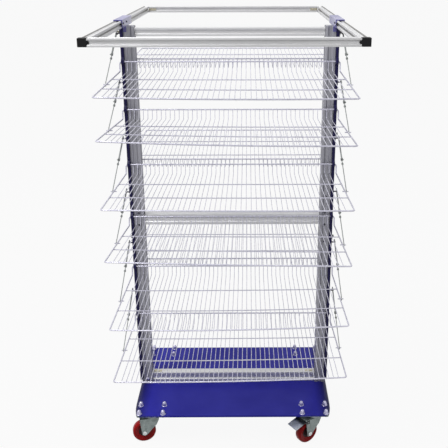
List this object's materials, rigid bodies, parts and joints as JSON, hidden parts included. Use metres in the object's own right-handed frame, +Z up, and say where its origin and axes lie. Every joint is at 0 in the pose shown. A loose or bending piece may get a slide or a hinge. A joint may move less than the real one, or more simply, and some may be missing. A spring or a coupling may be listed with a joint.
{
  "type": "art drying rack",
  "caption": "Double-sided art drying rack on castors: hinged wire shelves with sliding stays hang on both faces of two aluminium posts, on a blue steel platform under a tube frame.",
  "frame": {"origin": "on the floor, under the middle of the rack", "axes": "+Z up, +X to the right seen from the front, -Y towards the front"},
  "size_m": [0.6726, 1.078, 1.3296],
  "materials": {
    "aluminium": "satin extrusion",
    "blue_steel": "satin paint",
    "zinc": "zinc plate",
    "wire_zinc": "bright zinc",
    "red_wheel": "polyurethane",
    "dark_brass": "dull brass",
    "black_plastic": "moulded"
  },
  "bodies": {
    "frame": {"base_platform": "blue_steel", "left_post": "aluminium", "right_post": "aluminium", "top_bar": "aluminium", "middle_bar": "aluminium", "base_bar": "aluminium", "frame_front_tube": "aluminium", "frame_rear_tube": "aluminium", "frame_left_tube": "aluminium", "frame_right_tube": "aluminium", "left_end_block": "black_plastic", "right_end_block": "black_plastic", "left_side_plate": "blue_steel", "right_side_plate": "blue_steel", "left_saddle": "blue_steel", "right_saddle": "blue_steel", "left_wing_screw": "dark_brass", "right_wing_screw": "dark_brass"},
    "front_shelf_1": {"front_shelf_1": "wire_zinc"},
    "front_left_stay_1": {"front_left_stay_1": "wire_zinc"},
    "front_right_stay_1": {"front_right_stay_1": "wire_zinc"},
    "front_shelf_2": {"front_shelf_2": "wire_zinc"},
    "front_left_stay_2": {"front_left_stay_2": "wire_zinc"},
    "front_right_stay_2": {"front_right_stay_2": "wire_zinc"},
    "front_shelf_3": {"front_shelf_3": "wire_zinc"},
    "front_left_stay_3": {"front_left_stay_3": "wire_zinc"},
    "front_right_stay_3": {"front_right_stay_3": "wire_zinc"},
    "front_shelf_4": {"front_shelf_4": "wire_zinc"},
    "front_left_stay_4": {"front_left_stay_4": "wire_zinc"},
    "front_right_stay_4": {"front_right_stay_4": "wire_zinc"},
    "front_shelf_5": {"front_shelf_5": "wire_zinc"},
    "front_left_stay_5": {"front_left_stay_5": "wire_zinc"},
    "front_right_stay_5": {"front_right_stay_5": "wire_zinc"},
    "front_shelf_6": {"front_shelf_6": "wire_zinc"},
    "front_left_stay_6": {"front_left_stay_6": "wire_zinc"},
    "front_right_stay_6": {"front_right_stay_6": "wire_zinc"},
    "rear_shelf_1": {"rear_shelf_1": "wire_zinc"},
    "rear_left_stay_1": {"rear_left_stay_1": "wire_zinc"},
    "rear_right_stay_1": {"rear_right_stay_1": "wire_zinc"},
    "rear_shelf_3": {"rear_shelf_3": "wire_zinc"},
    "rear_left_stay_3": {"rear_left_stay_3": "wire_zinc"},
    "rear_right_stay_3": {"rear_right_stay_3": "wire_zinc"},
    "rear_shelf_5": {"rear_shelf_5": "wire_zinc"},
    "rear_left_stay_5": {"rear_left_stay_5": "wire_zinc"},
    "rear_right_stay_5": {"rear_right_stay_5": "wire_zinc"},
    "front_left_castor_fork": {"front_left_castor_fork": "zinc"},
    "front_left_castor_wheel": {"front_left_castor_wheel": "red_wheel"},
    "front_right_castor_fork": {"front_right_castor_fork": "zinc"},
    "front_right_castor_wheel": {"front_right_castor_wheel": "red_wheel"},
    "front_right_brake_pedal": {"front_right_brake_pedal": "zinc"},
    "rear_left_castor_fork": {"rear_left_castor_fork": "zinc"},
    "rear_left_castor_wheel": {"rear_left_castor_wheel": "red_wheel"},
    "rear_right_castor_fork": {"rear_right_castor_fork": "zinc"},
    "rear_right_castor_wheel": {"rear_right_castor_wheel": "red_wheel"}
  },
  "joints": [
    {"name": "front_shelf_1_hinge", "type": "hinge", "parent": "frame", "child": "front_shelf_1", "pos_m": [0, -0.031, 1.2062], "axis": [-1, 0, 0], "range_deg": [0, 12.1]},
    {"name": "front_left_stay_1_pivot", "type": "hinge", "parent": "front_shelf_1", "child": "front_left_stay_1", "pos_m": [-0.33025, -0.24176, 1.17411], "axis": [-1, 0, 0], "range_deg": [-2.04, 0.2]},
    {"name": "front_right_stay_1_pivot", "type": "hinge", "parent": "front_shelf_1", "child": "front_right_stay_1", "pos_m": [0.33025, -0.24141, 1.1719], "axis": [-1, 0, 0], "range_deg": [-2.07, 0.2]},
    {"name": "front_shelf_2_hinge", "type": "hinge", "parent": "frame", "child": "front_shelf_2", "pos_m": [0, -0.031, 1.06371], "axis": [-1, 0, 0], "range_deg": [0, 10]},
    {"name": "front_left_stay_2_pivot", "type": "hinge", "parent": "front_shelf_2", "child": "front_left_stay_2", "pos_m": [-0.33025, -0.24366, 1.04862], "axis": [-1, 0, 0], "range_deg": [-1.58, 0.2]},
    {"name": "front_right_stay_2_pivot", "type": "hinge", "parent": "front_shelf_2", "child": "front_right_stay_2", "pos_m": [0.33025, -0.24308, 1.04195], "axis": [-1, 0, 0], "range_deg": [-1.65, 0.2]},
    {"name": "front_shelf_3_hinge", "type": "hinge", "parent": "frame", "child": "front_shelf_3", "pos_m": [0, -0.031, 0.89286], "axis": [-1, 0, 0], "range_deg": [0, 11.2]},
    {"name": "front_left_stay_3_pivot", "type": "hinge", "parent": "front_shelf_3", "child": "front_left_stay_3", "pos_m": [-0.33025, -0.24329, 0.87332], "axis": [-1, 0, 0], "range_deg": [-1.77, 0.2]},
    {"name": "front_right_stay_3_pivot", "type": "hinge", "parent": "front_shelf_3", "child": "front_right_stay_3", "pos_m": [0.33025, -0.24311, 0.87147], "axis": [-1, 0, 0], "range_deg": [-1.79, 0.2]},
    {"name": "front_shelf_4_hinge", "type": "hinge", "parent": "frame", "child": "front_shelf_4", "pos_m": [0, -0.031, 0.72201], "axis": [-1, 0, 0], "range_deg": [0, 7.6]},
    {"name": "front_left_stay_4_pivot", "type": "hinge", "parent": "front_shelf_4", "child": "front_left_stay_4", "pos_m": [-0.33025, -0.2441, 0.71583], "axis": [-1, 0, 0], "range_deg": [-1.2, 0.2]},
    {"name": "front_right_stay_4_pivot", "type": "hinge", "parent": "front_shelf_4", "child": "front_right_stay_4", "pos_m": [0.33025, -0.24378, 0.70877], "axis": [-1, 0, 0], "range_deg": [-1.26, 0.2]},
    {"name": "front_shelf_5_hinge", "type": "hinge", "parent": "frame", "child": "front_shelf_5", "pos_m": [0, -0.031, 0.55115], "axis": [-1, 0, 0], "range_deg": [0, 10.2]},
    {"name": "front_left_stay_5_pivot", "type": "hinge", "parent": "front_shelf_5", "child": "front_left_stay_5", "pos_m": [-0.33025, -0.24315, 0.53013], "axis": [-1, 0, 0], "range_deg": [-1.67, 0.2]},
    {"name": "front_right_stay_5_pivot", "type": "hinge", "parent": "front_shelf_5", "child": "front_right_stay_5", "pos_m": [0.33025, -0.2436, 0.53532], "axis": [-1, 0, 0], "range_deg": [-1.61, 0.2]},
    {"name": "front_shelf_6_hinge", "type": "hinge", "parent": "frame", "child": "front_shelf_6", "pos_m": [0, -0.031, 0.3803], "axis": [-1, 0, 0], "range_deg": [0, 8.8]},
    {"name": "front_left_stay_6_pivot", "type": "hinge", "parent": "front_shelf_6", "child": "front_left_stay_6", "pos_m": [-0.33025, -0.24352, 0.36336], "axis": [-1, 0, 0], "range_deg": [-1.45, 0.2]},
    {"name": "front_right_stay_6_pivot", "type": "hinge", "parent": "front_shelf_6", "child": "front_right_stay_6", "pos_m": [0.33025, -0.24393, 0.36967], "axis": [-1, 0, 0], "range_deg": [-1.39, 0.2]},
    {"name": "rear_shelf_1_hinge", "type": "hinge", "parent": "frame", "child": "rear_shelf_1", "pos_m": [0, 0.031, 1.2062], "axis": [1, 0, 0], "range_deg": [0, 10.6]},
    {"name": "rear_left_stay_1_pivot", "type": "hinge", "parent": "rear_shelf_1", "child": "rear_left_stay_1", "pos_m": [-0.33025, 0.24253, 1.17963], "axis": [1, 0, 0], "range_deg": [-1.78, 0.2]},
    {"name": "rear_right_stay_1_pivot", "type": "hinge", "parent": "rear_shelf_1", "child": "rear_right_stay_1", "pos_m": [0.33025, 0.24253, 1.17963], "axis": [1, 0, 0], "range_deg": [-1.78, 0.2]},
    {"name": "rear_shelf_3_hinge", "type": "hinge", "parent": "frame", "child": "rear_shelf_3", "pos_m": [0, 0.031, 0.89286], "axis": [1, 0, 0], "range_deg": [0, 11]},
    {"name": "rear_left_stay_3_pivot", "type": "hinge", "parent": "rear_shelf_3", "child": "rear_left_stay_3", "pos_m": [-0.33025, 0.24336, 0.87406], "axis": [1, 0, 0], "range_deg": [-1.74, 0.2]},
    {"name": "rear_right_stay_3_pivot", "type": "hinge", "parent": "rear_shelf_3", "child": "rear_right_stay_3", "pos_m": [0.33025, 0.24336, 0.87406], "axis": [1, 0, 0], "range_deg": [-1.74, 0.2]},
    {"name": "rear_shelf_5_hinge", "type": "hinge", "parent": "frame", "child": "rear_shelf_5", "pos_m": [0, 0.031, 0.55115], "axis": [1, 0, 0], "range_deg": [0, 13.1]},
    {"name": "rear_left_stay_5_pivot", "type": "hinge", "parent": "rear_shelf_5", "child": "rear_left_stay_5", "pos_m": [-0.33025, 0.24253, 0.52459], "axis": [1, 0, 0], "range_deg": [-2.09, 0.2]},
    {"name": "rear_right_stay_5_pivot", "type": "hinge", "parent": "rear_shelf_5", "child": "rear_right_stay_5", "pos_m": [0.33025, 0.24253, 0.52459], "axis": [1, 0, 0], "range_deg": [-2.09, 0.2]},
    {"name": "front_left_castor_swivel", "type": "hinge", "parent": "frame", "child": "front_left_castor_fork", "pos_m": [-0.263, -0.185, 0.09], "axis": [0, 0, 1], "continuous": true},
    {"name": "front_left_castor_roll", "type": "hinge", "parent": "front_left_castor_fork", "child": "front_left_castor_wheel", "pos_m": [-0.29028, -0.1913, 0.0375], "axis": [0.225, -0.9744, 0], "continuous": true},
    {"name": "front_right_castor_swivel", "type": "hinge", "parent": "frame", "child": "front_right_castor_fork", "pos_m": [0.263, -0.185, 0.09], "axis": [0, 0, 1], "continuous": true},
    {"name": "front_right_castor_roll", "type": "hinge", "parent": "front_right_castor_fork", "child": "front_right_castor_wheel", "pos_m": [0.24006, -0.20106, 0.0375], "axis": [0.5736, -0.8192, 0], "continuous": true},
    {"name": "front_right_brake", "type": "hinge", "parent": "front_right_castor_fork", "child": "front_right_brake_pedal", "pos_m": [0.23351, -0.20565, 0.0837], "axis": [0.5736, -0.8192, 0], "range_deg": [0, 12]},
    {"name": "rear_left_castor_swivel", "type": "hinge", "parent": "frame", "child": "rear_left_castor_fork", "pos_m": [-0.263, 0.185, 0.09], "axis": [0, 0, 1], "continuous": true},
    {"name": "rear_left_castor_roll", "type": "hinge", "parent": "rear_left_castor_fork", "child": "rear_left_castor_wheel", "pos_m": [-0.23669, 0.19458, 0.0375], "axis": [-0.342, 0.9397, 0], "continuous": true},
    {"name": "rear_right_castor_swivel", "type": "hinge", "parent": "frame", "child": "rear_right_castor_fork", "pos_m": [0.263, 0.185, 0.09], "axis": [0, 0, 1], "continuous": true},
    {"name": "rear_right_castor_roll", "type": "hinge", "parent": "rear_right_castor_fork", "child": "rear_right_castor_wheel", "pos_m": [0.23669, 0.19458, 0.0375], "axis": [-0.342, -0.9397, 0], "continuous": true}
  ],
  "couplings": [
    {"joint": "front_left_stay_1_pivot", "follows": "front_shelf_1_hinge", "ratio": -0.152},
    {"joint": "front_right_stay_1_pivot", "follows": "front_shelf_1_hinge", "ratio": -0.1542},
    {"joint": "front_left_stay_2_pivot", "follows": "front_shelf_2_hinge", "ratio": -0.1376},
    {"joint": "front_right_stay_2_pivot", "follows": "front_shelf_2_hinge", "ratio": -0.1448},
    {"joint": "front_left_stay_3_pivot", "follows": "front_shelf_3_hinge", "ratio": -0.1404},
    {"joint": "front_right_stay_3_pivot", "follows": "front_shelf_3_hinge", "ratio": -0.1424},
    {"joint": "front_left_stay_4_pivot", "follows": "front_shelf_4_hinge", "ratio": -0.1319},
    {"joint": "front_right_stay_4_pivot", "follows": "front_shelf_4_hinge", "ratio": -0.1397},
    {"joint": "front_left_stay_5_pivot", "follows": "front_shelf_5_hinge", "ratio": -0.1437},
    {"joint": "front_right_stay_5_pivot", "follows": "front_shelf_5_hinge", "ratio": -0.1381},
    {"joint": "front_left_stay_6_pivot", "follows": "front_shelf_6_hinge", "ratio": -0.1417},
    {"joint": "front_right_stay_6_pivot", "follows": "front_shelf_6_hinge", "ratio": -0.1348},
    {"joint": "rear_left_stay_1_pivot", "follows": "rear_shelf_1_hinge", "ratio": -0.1488},
    {"joint": "rear_right_stay_1_pivot", "follows": "rear_shelf_1_hinge", "ratio": -0.1488},
    {"joint": "rear_left_stay_3_pivot", "follows": "rear_shelf_3_hinge", "ratio": -0.1399},
    {"joint": "rear_right_stay_3_pivot", "follows": "rear_shelf_3_hinge", "ratio": -0.1399},
    {"joint": "rear_left_stay_5_pivot", "follows": "rear_shelf_5_hinge", "ratio": -0.1446},
    {"joint": "rear_right_stay_5_pivot", "follows": "rear_shelf_5_hinge", "ratio": -0.1446}
  ]
}
